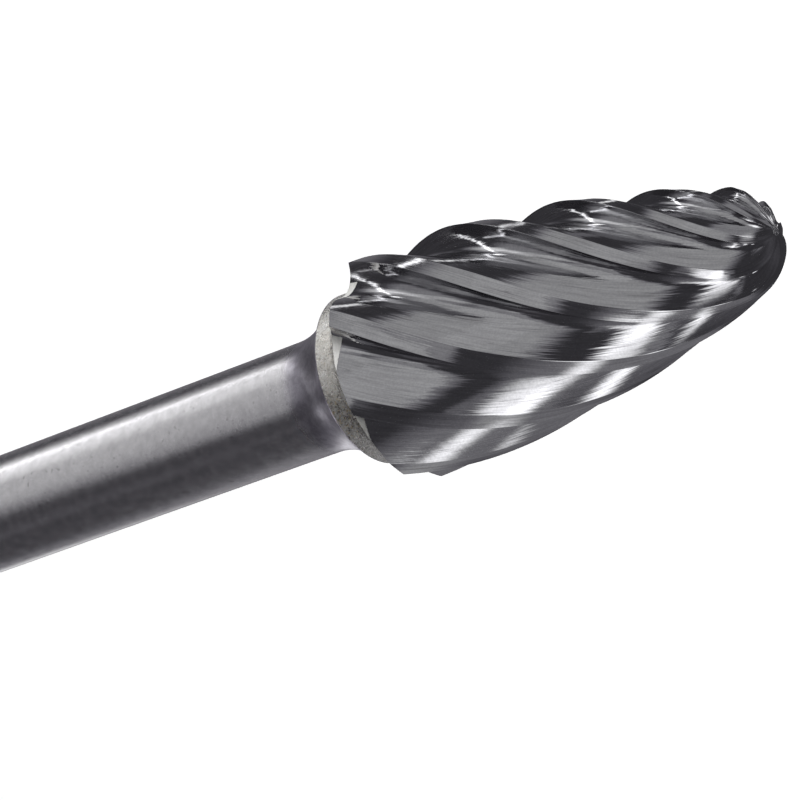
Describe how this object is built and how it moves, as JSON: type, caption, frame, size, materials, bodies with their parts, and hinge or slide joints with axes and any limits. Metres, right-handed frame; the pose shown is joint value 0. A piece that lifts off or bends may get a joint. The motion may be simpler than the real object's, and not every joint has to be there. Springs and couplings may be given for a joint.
{
  "type": "carbide burr",
  "caption": "Rotary cutting burr: tree-shaped carbide head with a rounded nose and wide spiral flutes, brazed to a round steel shank for a collet.",
  "frame": {"origin": "centre of the shank's flat end, at the lowest point of the part", "axes": "+Z along the tool's axis, from the shank's end to the rounded nose; +X and +Y are square to it"},
  "size_m": [0.0124, 0.0124, 0.0698],
  "materials": {
    "shank_steel": "fine ground and polished round, slightly darkened",
    "silver_solder": "smooth, bright, faint lilac heat tint",
    "ground_carbide": "dark grey, wheel ground along the flutes, rough sintered skin on the rear boss"
  },
  "bodies": {
    "root": {"shank": "shank_steel", "braze_joint": "silver_solder", "cutting_head": "ground_carbide"}
  },
  "joints": []
}
